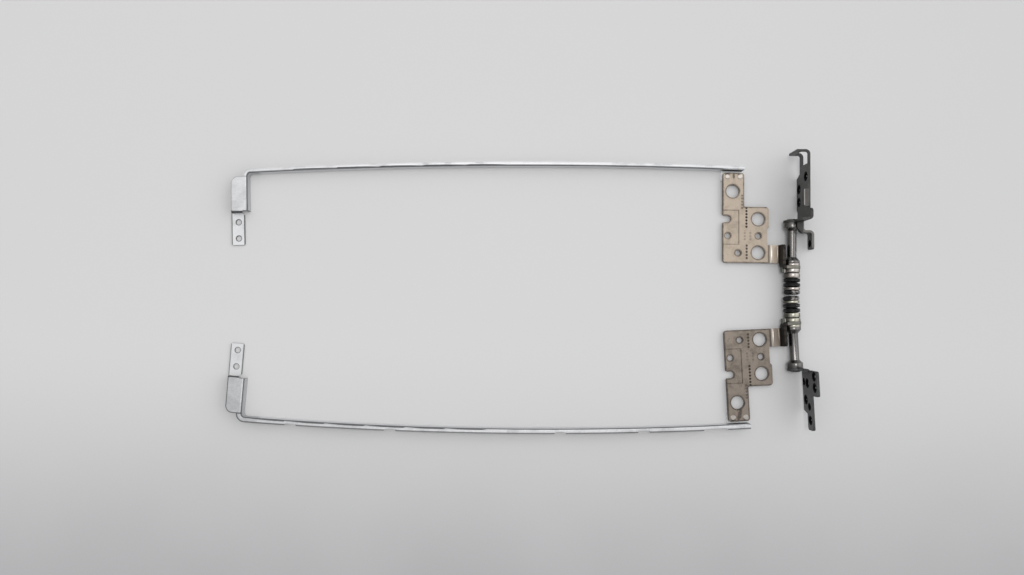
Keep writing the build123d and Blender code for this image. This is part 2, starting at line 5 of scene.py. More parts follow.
import bmesh
import bpy
from bpy.props import FloatProperty, FloatVectorProperty, PointerProperty
from bpy.types import Operator, Panel, PropertyGroup
from mathutils import Matrix, Vector


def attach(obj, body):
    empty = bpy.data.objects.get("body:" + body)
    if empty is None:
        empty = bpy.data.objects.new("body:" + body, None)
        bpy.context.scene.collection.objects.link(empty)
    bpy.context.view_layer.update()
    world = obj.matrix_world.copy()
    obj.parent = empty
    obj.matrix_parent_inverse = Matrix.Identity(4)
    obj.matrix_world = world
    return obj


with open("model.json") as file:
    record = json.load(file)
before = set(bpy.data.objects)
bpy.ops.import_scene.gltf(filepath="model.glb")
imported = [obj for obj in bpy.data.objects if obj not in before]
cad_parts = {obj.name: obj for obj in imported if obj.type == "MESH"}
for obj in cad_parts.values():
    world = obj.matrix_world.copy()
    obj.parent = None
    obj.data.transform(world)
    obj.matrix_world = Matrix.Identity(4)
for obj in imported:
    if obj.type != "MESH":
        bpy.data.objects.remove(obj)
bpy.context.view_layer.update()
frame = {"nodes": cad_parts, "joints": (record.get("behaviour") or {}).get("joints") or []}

bl_info = {
    "name": "Laptop Hinge Pair",
    "version": (1, 0, 0),
    "blender": (4, 5, 0),
    "location": "3D View > Sidebar > Hinge Pair",
    "description": "Finishes, eased edges and stage for a pair of laptop lid hinges",
    "category": "Object",
}

MM = 0.001
SIDES = ("right", "left")

# Each hinge has its own frame in millimetres: Y along the pivot from the nut outward, X away from the rail,
# and Z up from the table. All places below are in it.
PIVOT_STATION = 16.0
AXIS_HEIGHT = 3.6
WASHER_RADIUS = 3.3

RAIL_SHEET = 0.6
RAIL_HEIGHT = 5.0
RAIL_CORNER_X = -228.0
RAIL_CORNER_R = 1.5
RAIL_TAB_X = -29.5
RAIL_START = (-20.5, 53.0)
RAIL_MIDDLE = {"right": (-110.0, 53.9), "left": (-110.0, 51.2)}
RAIL_FAR = {"right": (-231.3, 49.5), "left": (-233.6, 40.75)}
RAIL_TURN = {"right": 88.6, "left": 89.8}
RAIL_FLANGE = {"right": 1.6, "left": 2.1}

# How dull a rail's wide tab and the rest of it are, and how deep the painted shade along its flange, tab and
# foot edges is
RAIL_DULL = {"right": (0.22, 0.0), "left": (0.64, 0.35)}
RAIL_EDGE_SHADE = {"right": (0.18, 0.35, 0.92), "left": (0.80, 0.80, 0.75)}

# Places on the wide tab and the foot at a rail's far end, in the frame of its square turn
TAB_WIDTH = 6.8
TAB_CORNER = 3.0
FOOT_BOX = ((-8.2, -29.35), (-2.5, -12.0))
FOOT_HOLES = ((-5.15, -26.15), (-5.15, -19.15))
FOOT_HOLE = 1.15
FOOT_STEP = (6.0, 8.0)

PLATE_TOP = 1.8
PLATE_BODY = ((-28.9, 13.5), (-9.1, 37.6))
PLATE_NECK = ((-28.9, 13.5), (-19.7, 52.2))
PLATE_HOLES = (
    (-24.6, 44.3, 2.8), (-13.6, 32.4, 2.8), (-13.7, 17.9, 2.8),
    (-13.6, 25.2, 1.25), (-22.3, 17.8, 1.25), (-26.6, 25.2, 1.25),
)
PLATE_SLOT = (-26.9, 32.4, 1.5)
RECESS_X = -21.8
RECESS_Y = (21.2, 36.3)
TONGUE_JOG_X = (-8.9, -7.7)
TONGUE_WALL_X = (-5.6, -3.3)
DOT_COLUMNS = (
    (-20.5, 36.6, 42.8, 0.55),
    (-18.7, 28.4, 37.2, 1.0),
    (-19.4, 22.9, 27.4, 0.3),
    (-17.0, 22.9, 27.4, 0.3),
    (-18.6, 14.8, 21.4, 0.85),
)
INK_DABS = {"right": (-24.2, 50.8, 0.5, 1.4, 0.0), "left": (-24.0, 49.4, 0.9, 2.4, 0.28)}

SCREW_HOLE = 1.4
SMALL_HOLE = 1.0
BRACKET_HOLES = {
    "right": (
        (49.5, 10.4, SCREW_HOLE), (45.2, 2.6, SCREW_HOLE), (39.6, 2.6, SCREW_HOLE), (21.9, 3.4, SMALL_HOLE),
    ),
    "left": (
        (36.8, 7.0, SCREW_HOLE), (33.5, 14.6, SCREW_HOLE), (38.1, 14.8, SCREW_HOLE), (43.9, 4.5, SCREW_HOLE),
        (52.2, 8.2, SCREW_HOLE), (46.6, 8.0, SMALL_HOLE), (36.5, 3.2, SMALL_HOLE),
    ),
}
EAR_FLAP_OUTLINE = ((0.95, 30.9), (0.95, 28.1), (2.9, 25.9), (3.8, 25.6), (3.8, 30.9))
EAR_FLAP_Z = 6.8
EAR_FLAP_SHEET = 0.8
EAR_FLAP_CORNER = 0.35
STRIP_X = 3.5
STRIP_Y = 31.0
TOP_TAB_X = (2.0, 1.6)
TOP_TAB_Y = (36.5, 43.8)
TOP_TAB_Z = 13.7

# Where the painted shade along edges and around holes fades in, measured inward from an edge or outward from
# a hole
FLANGE_LINE = (-0.75, -0.35)
TAB_LINE = (0.55, 0.2)
FOOT_LINE = (-0.3, 0.35, 0.12)
FOOT_HOLE_RIM = 0.12
PLATE_LINE = (0.65, 0.25)
HOLE_SHADE_RIM = (0.75, 0.45)

# How dirty each lid plate is, and how strong the painted highlight on its tongue's rise is
PLATE_DIRT = {"right": 1.0, "left": 1.7}
TONGUE_HIGHLIGHT = {"right": 0.58, "left": 0.45}

# Seams joined before the edges are eased, and the edges that count as sharp
WELD_GAP = 0.002
EASE_SEGMENTS = 2
EASE_ANGLE = 38.0

# Stage, in metres; the camera's place is in millimetres from the right hinge's own origin
FLOOR_HALF = 3.0
FLOOR_SHADE = (-0.02, -0.15)
FLOOR_SIDE = (0.04, 0.24)
LAMP_TINT = (1.0, 0.985, 0.965)
LAMP_PLACE = (-0.05, 0.15, 1.5)
LAMP_WIDTH = 0.5
CAMERA_PLACE = (-118.92, -10.41)
CAMERA_SENSOR = 36.0
CAMERA_NEAR = 0.01

# Directions between which the surround brightens: upward, over the table's edge, to the right, to the back
SKY_RISE = (0.2, 0.85)
SKY_EDGE = (-0.1, 0.15)
SKY_TO_RIGHT = (0.25, 0.85)
SKY_TO_BACK = (-0.32, 0.22)


def colour(name, description, default):
    """Colour property for a finish."""
    return FloatVectorProperty(
        name=name, description=description, subtype="COLOR", size=3, min=0.0, max=1.0, default=default,
    )


def size(name, description, default):
    """Length property, given in millimetres and kept in metres."""
    return FloatProperty(
        name=name, description=description, subtype="DISTANCE", unit="LENGTH", min=0.0, precision=5,
        default=default * MM,
    )


def amount(name, description, default, high=1.0):
    """Plain number property."""
    return FloatProperty(name=name, description=description, min=0.0, max=high, default=default)


def angle(name, description, degrees):
    """Angle property, given in degrees."""
    return FloatProperty(name=name, description=description, subtype="ANGLE", default=math.radians(degrees))


class HingeFinish(PropertyGroup):
    """Colours of the platings and steels, and of the painted shade and highlights on them."""

    zinc: colour("Zinc", "Bright plating of the display rails", (0.75, 0.755, 0.765))
    zinc_dull: colour("Dull zinc", "Grey patches in the rail plating", (0.47, 0.475, 0.48))
    # Painted shade on the rail walls and along the rails' edges
    zinc_wall: colour("Rail wall", "Dark plating high on the walls of the rails", (0.075, 0.077, 0.08))
    # Painted shadow in the steps of the rails and on the wall beside the lid plate
    zinc_crease: colour("Rail crease", "Grime in the steps and creases of the rails", (0.022, 0.022, 0.023))
    right_plate: colour("Right plate", "Nickel of the right lid plate", (0.43, 0.360, 0.295))
    left_plate: colour("Left plate", "Nickel of the left lid plate", (0.270, 0.228, 0.194))
    # Painted highlight on the rise of the tongue
    tongue_highlight: colour("Burnish", "Nickel rubbed bright at the rise of the tongue", (0.86, 0.80, 0.72))
    # Painted shade on the tongue's wall beside the shaft
    tongue_wall_shade: colour("Tongue wall", "Dark grease on the wall beside the shaft", (0.014, 0.012, 0.011))
    # Dark colour put on the ear's rim and on the tang beside it
    ear: colour("Ears", "Greasy steel at the rim of the ear and the tang beside it", (0.17, 0.175, 0.155))
    stamp: colour("Stamp", "Dark bottom of the stamped dots and the ink dab", (0.030, 0.020, 0.014))
    right_bracket: colour("Right bracket", "Black oxide of the right base bracket", (0.048, 0.047, 0.044))
    left_bracket: colour("Left bracket", "Black oxide of the left base bracket", (0.062, 0.064, 0.063))
    # Also the colour of the painted highlights on the nuts and on the right bracket's strip
    bare_steel: colour("Bare steel", "Steel that shows where the oxide is rubbed off", (0.60, 0.56, 0.52))
    # Painted shade in and around the bracket holes
    hole: colour("Holes", "Dark walls of the bracket holes", (0.008, 0.008, 0.008))
    shaft: colour("Shaft", "Dark polished steel of the shafts", (0.20, 0.193, 0.186))
    right_washer: colour("Right washers", "Bright steel of the right washers", (0.62, 0.57, 0.53))
    left_washer: colour("Left washers", "Yellowed steel of the left washers", (0.54, 0.525, 0.44))
    # Also the colour of the painted shade on the sides of the washers
    grease: colour("Grease", "Dark grease in the seams of the stack", (0.05, 0.045, 0.04))
    spring: colour("Springs", "Black oxide of the disc springs", (0.006, 0.006, 0.006))
    nut: colour("Nuts", "Blackened steel of the lock nuts", (0.030, 0.030, 0.032))
    right_rivet: colour("Right rivets", "Rivet heads of the right hinge", (0.72, 0.66, 0.60))
    left_rivet: colour("Left rivets", "Rivet heads of the left hinge", (0.52, 0.48, 0.44))


class HingeSizes(PropertyGroup):
    """Sizes of the eased edges and the stamped dots."""

    sheet_edge: size("Sheet edge", "Easing of the stamped edges of plates and brackets", 0.18)
    rail_edge: size("Rail edge", "Easing of the thin edges of the rails", 0.16)
    turned_edge: size("Turned edge", "Easing of the turned pieces and the nut", 0.09)
    dot_pitch: size("Dot pitch", "Spacing of the stamped dots", 1.35)
    dot_radius: size("Dot radius", "Radius of a stamped dot", 0.52)


class HingeStage(PropertyGroup):
    """Floor, light and camera."""

    floor: colour("Floor", "Pale table top", (0.77, 0.765, 0.765))
    floor_near: colour("Near floor", "Table top in the shade toward the viewer", (0.47, 0.467, 0.475))
    sky: colour("Sky", "Pale surround", (0.975, 0.985, 1.0))
    sky_top: amount("Top sky", "Brightness of the surround overhead", 0.86, 4.0)
    sky_low: amount("Low sky", "Brightness of the surround near the table", 0.30, 4.0)
    sky_near: amount("Near sky", "Share of that brightness on the viewer's side", 0.55)
    overhead: amount("Overhead", "Power of the round light above the table, in watts", 4.4, 200.0)
    sky_right: amount("Right sky", "Brightness added to the surround on the right", 1.1, 4.0)
    camera_height: size("Camera height", "Height of the lens above the table", 332.0)
    lens: FloatProperty(name="Lens", description="Focal length in millimetres", default=27.14, min=1.0)
    tilt: angle("Tilt", "Lean of the view away from straight down", 2.114)
    roll: angle("Roll", "Turn of the picture on the table", 0.65)


class Wire:
    """One output of a node tree; arithmetic with it adds Math nodes."""

    def __init__(self, tree, socket):
        self.tree = tree
        self.socket = socket

    def math(self, operation, *others):
        """Math node with this value first."""
        return self.tree.math(operation, self, *others)

    def __add__(self, other):
        return self.math("ADD", other)

    __radd__ = __add__

    def __sub__(self, other):
        return self.math("SUBTRACT", other)

    def __rsub__(self, other):
        return self.tree.math("SUBTRACT", other, self)

    def __mul__(self, other):
        return self.math("MULTIPLY", other)

    __rmul__ = __mul__

    def __truediv__(self, other):
        return self.math("DIVIDE", other)

    def __pow__(self, other):
        return self.math("POWER", other)

    def both(self, other):
        """The larger of two values."""
        return self.math("MAXIMUM", other)

    def least(self, other):
        """The smaller of two values."""
        return self.math("MINIMUM", other)

    def clamped(self):
        """The value kept between 0 and 1."""
        return self.math("MINIMUM", 1.0).both(0.0)

    def smooth(self, low, high):
        """Soft step from 0 at low to 1 at high; low may be above high."""
        if low > high:
            return 1 - self.smooth(high, low)
        settings = {"interpolation_type": "SMOOTHSTEP"}
        return self.tree.node("MapRange", settings, {"Value": self, "From Min": low, "From Max": high})

    def within(self, low, high, soft):
        """1 between low and high, with soft borders."""
        return self.smooth(low - soft, low + soft) * self.smooth(high + soft, high - soft)


class Tree:
    """A node tree and the few ways in which its nodes are made."""

    def __init__(self, tree):
        self.tree = tree

    def feed(self, socket, value):
        """Set a socket's own value, or link a wire to it."""
        if isinstance(value, Wire):
            self.tree.links.new(value.socket, socket)
        elif socket.type == "RGBA" and len(value) == 3:
            socket.default_value = (*value, 1.0)
        else:
            socket.default_value = value

    def node(self, kind, settings=None, sockets=None, output=0):
        """Add a node: its settings first, then the values or links of its sockets."""
        made = self.tree.nodes.new("ShaderNode" + kind)
        for key, value in (settings or {}).items():
            setattr(made, key, value)
        for key, value in (sockets or {}).items():
            self.feed(made.inputs[key], value)
        return Wire(self, made.outputs[output])

    def math(self, operation, *values):
        """Math node on wires and numbers."""
        return self.node("Math", {"operation": operation}, dict(enumerate(values)))

    def vector(self, operation, *values, output=0):
        """Vector Math node on wires and vectors."""
        return self.node("VectorMath", {"operation": operation}, dict(enumerate(values)), output)

    def mix(self, first, second, factor):
        """Colour between two colours."""
        return self.node("Mix", {"data_type": "RGBA"}, {0: factor, 6: first, 7: second}, 2)

    def split(self, vector):
        """The three parts of a vector."""
        first = self.node("SeparateXYZ", None, {0: vector})
        return [Wire(self, socket) for socket in first.socket.node.outputs]

    def noise(self, place, scale, detail=3.0, roughness=0.55):
        """Noise value at a place, with about scale features to the millimetre."""
        sockets = {"Vector": place, "Scale": scale, "Detail": detail, "Roughness": roughness}
        return self.node("TexNoise", None, sockets)


class Paint(Tree):
    """Material of a node tree with one surface shader."""

    def __init__(self, name):
        self.material = bpy.data.materials.new(name)
        self.material.use_nodes = True
        super().__init__(self.material.node_tree)
        self.shader = self.tree.nodes["Principled BSDF"]

    def bump(self, height, depth, strength=1.0):
        """Normal bent by a height of 0 to 1, with a depth in millimetres."""
        return self.node("Bump", None, {"Height": height, "Distance": depth * MM, "Strength": strength})

    def surface(self, **sockets):
        """Feed the shader's sockets, named with underscores for spaces, and give the material back."""
        for key, value in sockets.items():
            self.feed(self.shader.inputs[key.replace("_", " ")], value)
        return self.material


def shade(tint, factor):
    """A colour made darker or lighter."""
    return [part * factor for part in tint]


def own(finish, side, kind):
    """Colour of a piece that differs between the two hinges."""
    return getattr(finish, f"{side}_{kind}")


def distance(x, y, middle_x, middle_y):
    """Distance of a place from a point."""
    return ((x - middle_x) ** 2 + (y - middle_y) ** 2) ** 0.5


def hinge_frame(side):
    """Rows of a hinge's own axes and its origin on the table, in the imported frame."""
    joint = next(j for j in frame["joints"] if j["name"] == side + "_pivot")
    outward = Vector(joint["axis"]) * (1 if side == "right" else -1)
    away = Vector((abs(outward.y), -outward.x * math.copysign(1, outward.y), 0))
    start = Vector(joint["pos_m"]) - outward * PIVOT_STATION * MM
    start.z = 0
    return (away, outward, Vector((0, 0, 1))), start


def hinge_place(paint, side):
    """Coordinates of a material in its hinge's own frame, in millimetres."""
    rows, start = hinge_frame(side)
    here = paint.node("TexCoord", None, None, 3)
    local = paint.vector("SUBTRACT", here, start)
    parts = [paint.vector("DOT_PRODUCT", local, row / MM, output=1) for row in rows]
    return paint.node("CombineXYZ", None, dict(enumerate(parts)))


def hinge_facing(paint, side):
    """The three parts of a surface's direction in its hinge's own frame."""
    rows, _ = hinge_frame(side)
    facing = paint.node("TexCoord", None, None, 1)
    return [paint.vector("DOT_PRODUCT", facing, row, output=1) for row in rows]


def box_depth(x, y, box):
    """How far inside a rectangle a place lies."""
    (left, low), (right, high) = box
    return (x - left).least(right - x).least((y - low).least(high - y))


def rail_bow(side):
    """Centre and radius of the circle that a rail's wall follows, in its hinge's frame."""
    (ax, ay), (bx, by), (cx, cy) = RAIL_START, RAIL_MIDDLE[side], RAIL_FAR[side]
    a, b, c = ax * ax + ay * ay, bx * bx + by * by, cx * cx + cy * cy
    turn = 2 * (ax * (by - cy) + bx * (cy - ay) + cx * (ay - by))
    centre_x = (a * (by - cy) + b * (cy - ay) + c * (ay - by)) / turn
    centre_y = (a * (cx - bx) + b * (ax - cx) + c * (bx - ax)) / turn
    return centre_x, centre_y, math.hypot(cx - centre_x, cy - centre_y)


def foot_place(side, x, y):
    """Place in the frame of the square turn at a rail's far end."""
    centre_x, centre_y, _ = rail_bow(side)
    far_x, far_y = RAIL_FAR[side]
    bend = math.atan2(far_y - centre_y, far_x - centre_x) - math.pi / 2
    lean = bend + math.radians(RAIL_TURN[side] - 90)
    start_x = far_x + RAIL_CORNER_R * (math.sin(bend) - math.cos(lean))
    start_y = far_y - RAIL_CORNER_R * (math.cos(bend) + math.sin(lean))
    along = (x - start_x) * math.cos(lean) + (y - start_y) * math.sin(lean)
    across = (y - start_y) * math.cos(lean) - (x - start_x) * math.sin(lean)
    return along, across


def rail_edge_shade(side, x, y, z, far_end):
    """Painted shade along the edges of a rail's flange, of its wide tab and of its foot."""
    flange_share, tab_share, foot_share = RAIL_EDGE_SHADE[side]
    centre_x, centre_y, radius = rail_bow(side)
    high = z.smooth(RAIL_HEIGHT - RAIL_SHEET - 0.4, RAIL_HEIGHT - RAIL_SHEET)
    u, v = foot_place(side, x, y)
    along_bow = u.smooth(RAIL_CORNER_R - 0.2, RAIL_CORNER_R + 0.2)
    bow = distance(x, y, centre_x, centre_y) - (radius + RAIL_FLANGE[side])
    turn = distance(u, v, RAIL_CORNER_R, 0.0) - (RAIL_CORNER_R + RAIL_FLANGE[side])
    flange = bow.smooth(*FLANGE_LINE) * along_bow
    flange = flange.both(turn.smooth(*FLANGE_LINE) * (1 - along_bow) * v.smooth(-0.1, 0.1))
    flange = flange * high * flange_share

    from_corner = distance(((TAB_CORNER - TAB_WIDTH) - u).both(0.0), (v + TAB_CORNER).both(0.0), 0.0, 0.0)
    tab = (TAB_CORNER - from_corner).smooth(*TAB_LINE) * v.smooth(0.3, 0.1) * high * far_end * tab_share

    margin = box_depth(u, v, FOOT_BOX)
    for hole_u, hole_v in FOOT_HOLES:
        margin = margin.least(distance(u, v, hole_u, hole_v) - (FOOT_HOLE - FOOT_HOLE_RIM))
    foot = margin.within(*FOOT_LINE) * z.smooth(RAIL_SHEET + 0.4, RAIL_SHEET + 0.2) * foot_share
    return flange.both(tab).both(foot * far_end)


def zinc_paint(finish, side):
    """Bright zinc plate: fine spangle, drawn streaks, dull patches, painted shade on walls, in creases and
    along edges.
    """
    paint = Paint(side + "_zinc")
    place = hinge_place(paint, side)
    x, y, z = paint.split(place)
    _, facing_y, facing_z = hinge_facing(paint, side)
    drawn = paint.vector("MULTIPLY", place, (0.12, 1.0, 1.0))
    streak = paint.noise(drawn, 3.2, 4.0, 0.6)
    patch = paint.noise(place, 0.16, 3.0, 0.5).smooth(0.45, 0.70)
    cells = paint.node("TexVoronoi", None, {"Vector": place, "Scale": 1.7}, 1)
    spangle = paint.split(cells)[0]
    fleck = paint.noise(place, 1.1, 5.0, 0.7).smooth(0.60, 0.70)
    wide_tab = x.smooth(RAIL_CORNER_X, RAIL_CORNER_X - 2.0) * z.smooth(RAIL_HEIGHT - 1.0, RAIL_HEIGHT - 0.6)
    tab_dull, rail_dull = RAIL_DULL[side]
    far_end = x.smooth(RAIL_CORNER_X + 1.0, RAIL_CORNER_X - 1.0)
    foot = far_end * z.smooth(RAIL_SHEET + 0.6, RAIL_SHEET + 0.2)
    tone = patch * (1 - wide_tab * 0.7) * 0.30 + (streak - 0.5) * 0.5 + (spangle - 0.5) * 0.22 + fleck * 0.35
    tone = tone + rail_dull + (wide_tab * (tab_dull - rail_dull)) - foot * (rail_dull + 0.15)
    base = paint.mix(finish.zinc, finish.zinc_dull, tone.clamped())

    # Painted shade on the upright walls, darkest high up and fading to plain zinc lower down
    upright = facing_z.math("ABSOLUTE").smooth(0.93, 0.6)
    faded = z.smooth(RAIL_HEIGHT - 0.5, RAIL_HEIGHT - 1.7)
    wall = paint.mix(finish.zinc_wall, paint.mix(finish.zinc, finish.zinc_dull, far_end), faded)
    base = paint.mix(base, wall, upright * (0.75 + streak * 0.3).clamped())
    # Painted shadow on the step down to the foot and on the wall in the gap beside the lid plate
    step = upright * far_end * facing_y.smooth(-0.5, -0.8) * (RAIL_FAR[side][1] - y).smooth(*FOOT_STEP)
    low = z.smooth(RAIL_HEIGHT - 0.5, RAIL_HEIGHT - 0.9)
    beside_plate = x.smooth(RAIL_TAB_X - 0.8, RAIL_TAB_X + 0.8) * low
    crease_shade = step.both(beside_plate * facing_y.smooth(-0.2, -0.5))
    base = paint.mix(base, finish.zinc_crease, crease_shade * 0.92)
    # Painted shade along the edges of the flange, the wide tab and the foot
    base = paint.mix(base, finish.zinc_wall, rail_edge_shade(side, x, y, z, far_end))
    grain = paint.noise(place, 5.5, 2.0, 0.6)
    return paint.surface(
        Base_Color=base,
        Metallic=0.94 - upright * 0.7,
        Roughness=0.44 + streak * 0.14 + patch * 0.10,
        Normal=paint.bump(grain * 0.6 + streak * 0.4, 0.03, 0.5),
    )


def stamped_dots(paint, x, y):
    """Columns of plain stamped dots in a lid plate."""
    sizes = bpy.context.scene.hinge_sizes
    pitch = sizes.dot_pitch / MM
    radius = sizes.dot_radius / MM
    along = ((y / pitch).math("FRACT") - 0.5) * pitch
    dots = None
    for middle, low, high, depth in DOT_COLUMNS:
        across = x - middle
        glint_spot = ((across * across + along * along) ** 0.5).smooth(radius * 1.2, radius * 0.7)
        column = glint_spot * y.within(low, high, 0.05) * depth
        dots = column if dots is None else dots.both(column)
    return dots


def ink_dab(paint, place, side):
    """Uneven dab of marking ink beside the rivets."""
    x, y, _ = paint.split(place)
    middle_x, middle_y, half_width, half_length, lean = INK_DABS[side]
    along = (y - middle_y) / half_length
    across = (x - middle_x + along * half_length * lean) / half_width
    wander = (paint.noise(place, 0.9, 3.0, 0.7) - 0.5) * 1.2
    blot = (across + wander) ** 2 + (along + wander) ** 2
    return blot.smooth(1.3, 0.6)


def plate_margin(x, y):
    """Distance from a place on a lid plate to the nearest stamped edge, and to the nearest hole's wall."""
    outside = box_depth(x, y, PLATE_BODY).both(box_depth(x, y, PLATE_NECK))
    slot_x, slot_y, slot_radius = PLATE_SLOT
    holes = ((x - slot_x).both(0.0) ** 2 + (y - slot_y) ** 2) ** 0.5 - slot_radius
    for hole_x, hole_y, radius in PLATE_HOLES:
        holes = holes.least(distance(x, y, hole_x, hole_y) - radius)
    return outside, holes


def nickel_paint(finish, side):
    """Nickel of a lid plate: mottled stains, brushing, dots, ink, painted shade at edges, jog and tongue
    wall, painted light at holes and tongue.
    """
    paint = Paint(side + "_nickel")
    place = hinge_place(paint, side)
    x, y, z = paint.split(place)
    facing_z = hinge_facing(paint, side)[2]
    brushed = paint.noise(paint.vector("MULTIPLY", place, (1.0, 0.14, 1.0)), 4.5, 4.0, 0.6)
    cloud = paint.noise(place, 0.22, 4.0, 0.62)
    speck = paint.noise(place, 2.6, 3.0, 0.7).smooth(0.55, 0.72)
    tarnish = paint.noise(place, 0.5, 3.0, 0.6).smooth(0.42, 0.66)
    flat = x.smooth(TONGUE_JOG_X[0] - 0.4, TONGUE_JOG_X[0] - 0.8)
    top = z.within(PLATE_TOP - 0.35, PLATE_TOP + 0.1, 0.05) * flat
    edge = facing_z.smooth(0.90, 0.45)

    plate = own(finish, side, "plate")
    low, high = RECESS_Y
    recess = x.smooth(RECESS_X + 0.06, RECESS_X - 0.06) * y.within(low, high, 0.06) * top
    inside = x.smooth(RECESS_X - 0.38, RECESS_X - 0.54) * y.within(low + 0.46, high - 0.46, 0.08)
    rim = recess * (1 - inside)
    dirt = PLATE_DIRT[side]
    # Mottled stain and brushing, plus painted shade darkening the recess and, more, its rim
    stain_and_shade = cloud.smooth(0.42, 0.66) * 0.34 * dirt + speck * 0.42 * dirt + (brushed - 0.5) * 0.5 - 0.09
    stain_and_shade = (stain_and_shade + recess * 0.12 + rim * 0.55).clamped()
    base = paint.mix(plate, shade(plate, 0.42), stain_and_shade)
    olive = [plate[0] * 0.86, plate[1] * 0.93, plate[2] * 0.86]
    base = paint.mix(base, olive, tarnish * 0.35)
    # Painted shade on the sloped faces: bevels, edges and hole walls are darkened
    base = paint.mix(base, shade(plate, 0.22), edge * (0.75 + tarnish * 0.2))
    outside, holes = plate_margin(x, y)
    # Painted shade in a thin line along the plate's outer edges and around its holes
    outline_shade = outside.least(holes).smooth(*PLATE_LINE) * flat * (0.65 + tarnish * 0.35)
    base = paint.mix(base, shade(plate, 0.28), outline_shade)
    # Painted light on the hole walls, which are kept fairly bright
    lit_bore = holes.smooth(0.06, 0.02) * flat * z.smooth(PLATE_TOP - 0.3, PLATE_TOP - 0.5)
    base = paint.mix(base, shade(plate, 0.8), lit_bore)

    first, last = TONGUE_JOG_X
    jog = x.within(first + 0.25, last - 0.1, 0.15)
    # Painted shade on the crease at the foot of the tongue's jog
    crease = x.within(first - 0.5, first + 0.05, 0.15) * y.smooth(RECESS_Y[0] + 0.2, RECESS_Y[0] - 0.2)
    base = paint.mix(base, shade(plate, 0.25), crease * 0.8)
    # Painted highlight on the rise of the tongue's jog
    base = paint.mix(base, finish.tongue_highlight, jog * TONGUE_HIGHLIGHT[side])
    # Painted light on the flat of the tongue between the jog and the wall
    base = paint.mix(base, shade(plate, 1.35), x.within(last + 0.1, TONGUE_WALL_X[0], 0.2) * 0.7)

    marks = stamped_dots(paint, x, y) * top
    ink = ink_dab(paint, place, side) * top * (0.62 + speck * 0.35)
    base = paint.mix(base, finish.stamp, marks.both(ink).clamped())
    first, last = TONGUE_WALL_X
    # Painted shade on the tongue's wall beside the shaft
    wall = x.smooth(first, first + 0.6) * x.smooth(last + 0.3, last) * (0.88 + tarnish * 0.12)
    base = paint.mix(base, finish.tongue_wall_shade, wall)
    # The ear's rim is darkened toward the ear colour
    ear = x.smooth(last, last + 0.3)
    base = paint.mix(base, finish.ear, ear * (0.75 + tarnish * 0.25))

    grain = brushed * 0.5 + paint.noise(place, 7.0, 2.0, 0.5) * 0.5
    return paint.surface(
        Base_Color=base,
        Metallic=1.0 - marks.both(ink).both(wall * 0.6) * 0.6,
        Roughness=0.38 + stain_and_shade * 0.16 + (brushed - 0.5) * 0.12 + wall * 0.3,
        Normal=paint.bump(grain - marks * 2.5, 0.035, 0.6),
    )


def oxide_paint(finish, side):
    """Black oxide of a base bracket: satin, dusty, rubbed to steel in small spots, painted highlight on the
    strip's top edge, painted shade at holes.
    """
    paint = Paint(side + "_oxide")
    place = hinge_place(paint, side)
    x, y, z = paint.split(place)
    cloud = paint.noise(place, 0.30, 4.0, 0.6)
    grain = paint.noise(place, 6.0, 3.0, 0.6)
    rub = (paint.noise(place, 0.55, 5.0, 0.7) + (grain - 0.5) * 0.25).smooth(0.60, 0.74)
    bracket = own(finish, side, "bracket")
    base = paint.mix(shade(bracket, 0.8), shade(bracket, 1.35), cloud.smooth(0.35, 0.7))
    wear_and_highlight = rub * 0.14
    if side == "right":
        # The top tab is lightened toward bare steel; the strip's upward top edge gets a painted highlight
        tab = y.within(*TOP_TAB_Y, 0.2) * z.smooth(TOP_TAB_Z, TOP_TAB_Z + 0.3)
        wear_and_highlight = wear_and_highlight.both(tab * (0.04 + grain * 0.08 + x.smooth(*TOP_TAB_X) * 0.5))
        strip = y.smooth(STRIP_Y + 0.2, STRIP_Y - 0.2) * x.smooth(STRIP_X - 0.1, STRIP_X + 0.1)
        wear_and_highlight = wear_and_highlight.both(strip * hinge_facing(paint, side)[2].smooth(0.6, 0.9) * (0.12 + grain * 0.2))
    base = paint.mix(base, finish.bare_steel, wear_and_highlight)
    # Painted shade in and around the bracket holes
    hole_shades = None
    for hole_y, hole_z, radius in BRACKET_HOLES[side]:
        hole_shade = (distance(y, z, hole_y, hole_z) - radius).smooth(*HOLE_SHADE_RIM)
        hole_shades = hole_shade if hole_shades is None else hole_shades.both(hole_shade)
    return paint.surface(
        Base_Color=paint.mix(base, finish.hole, hole_shades),
        Metallic=0.35 + wear_and_highlight * 0.6 + hole_shades * 0.6,
        Roughness=0.34 + cloud * 0.18 - wear_and_highlight * 0.1 + hole_shades * 0.45,
        Normal=paint.bump(grain, 0.03, 0.6),
    )


